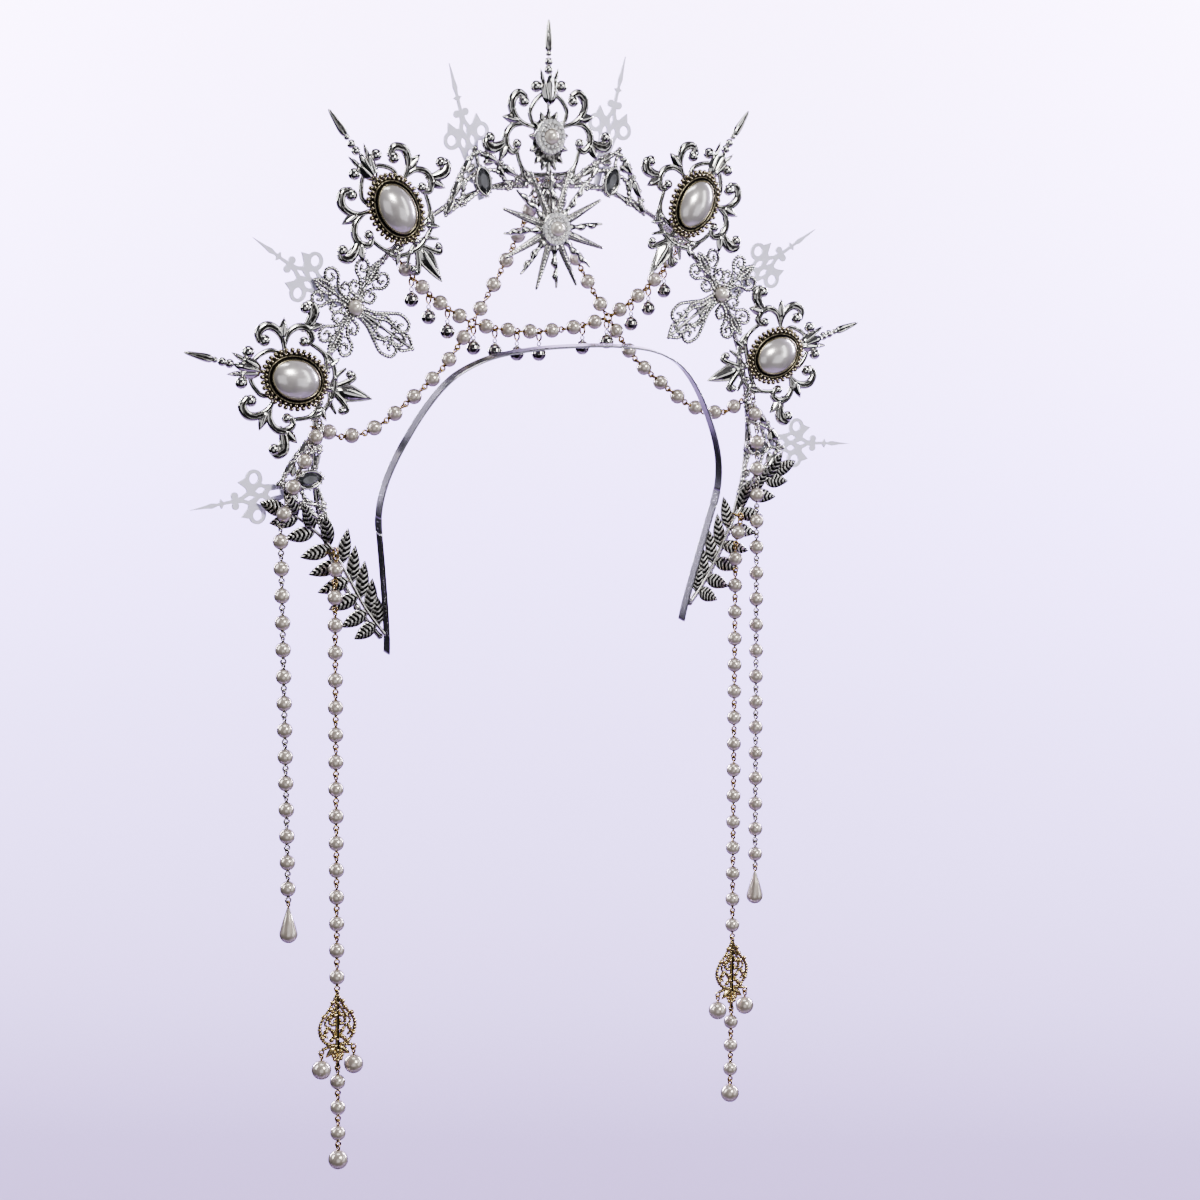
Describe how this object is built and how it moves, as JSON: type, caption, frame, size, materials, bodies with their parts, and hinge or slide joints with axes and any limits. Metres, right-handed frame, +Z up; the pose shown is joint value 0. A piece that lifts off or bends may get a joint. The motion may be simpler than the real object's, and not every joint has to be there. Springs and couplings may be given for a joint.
{
  "type": "halo crown",
  "caption": "Halo crown on a hairband: a wire arch with openwork medallions, clock hands, a star brooch, leaf branches and hanging pearl strings.",
  "frame": {"origin": "middle of the hairband's underside, where it rests on the head", "axes": "+Z up, the wearer's front faces -Y, +X to the viewer's right"},
  "size_m": [0.3788, 0.0324, 0.543],
  "materials": {
    "band_steel": "polished",
    "wire_metal": "polished, slightly tarnished",
    "cast_silver": "silver plated casting, blackened in the recesses",
    "antique_brass": "antiqued",
    "dome_pearl": "pearl lacquer",
    "rhinestone_setting": "plated, set with small clear stones",
    "round_pearl": "pearl lacquer",
    "crystal": "faceted, smoky",
    "link_silver": "silver plated, antiqued",
    "filigree_silver": "silver plated, bright",
    "hand_paint": "matte",
    "star_silver": "silver plated, bright",
    "antiqued_leaf": "dark antiqued silver",
    "drop_pearl": "pearl lacquer",
    "gilt_filigree": "gilt",
    "bell_metal": "silver plated, worn",
    "pearl_string": "pearl lacquer on gilt eye pins"
  },
  "bodies": {
    "root": {"hairband": "band_steel", "arch_wire": "wire_metal", "medallion_1": "cast_silver", "medallion_2": "cast_silver", "medallion_3": "cast_silver", "medallion_4": "cast_silver", "medallion_5": "cast_silver", "bezel_1": "antique_brass", "bezel_2": "antique_brass", "bezel_4": "antique_brass", "bezel_5": "antique_brass", "dome_1": "dome_pearl", "dome_2": "dome_pearl", "dome_4": "dome_pearl", "dome_5": "dome_pearl", "rosette": "rhinestone_setting", "rosette_pearl": "round_pearl", "link_1": "link_silver", "link_2": "link_silver", "link_3": "link_silver", "link_4": "link_silver", "link_stone_1": "crystal", "link_stone_2": "crystal", "link_stone_3": "crystal", "link_stone_4": "crystal", "cross_left": "filigree_silver", "cross_right": "filigree_silver", "cross_pearl_left": "round_pearl", "cross_pearl_right": "round_pearl", "hand_1": "hand_paint", "hand_2": "hand_paint", "hand_3": "hand_paint", "hand_4": "hand_paint", "hand_5": "hand_paint", "hand_6": "hand_paint", "star": "star_silver", "star_ring": "rhinestone_setting", "star_pearl": "round_pearl", "branch_left": "antiqued_leaf", "branch_right": "antiqued_leaf", "outer_left": "pearl_string", "outer_right": "pearl_string", "drop_left": "drop_pearl", "drop_right": "drop_pearl", "inner_left": "pearl_string", "inner_right": "pearl_string", "pendant_left": "gilt_filigree", "pendant_right": "gilt_filigree", "tail_left": "pearl_string", "tail_right": "pearl_string", "centre_swag": "pearl_string", "bells": "bell_metal", "star_string_left": "pearl_string", "star_string_right": "pearl_string", "side_swag_left": "pearl_string", "side_swag_right": "pearl_string"}
  },
  "joints": []
}
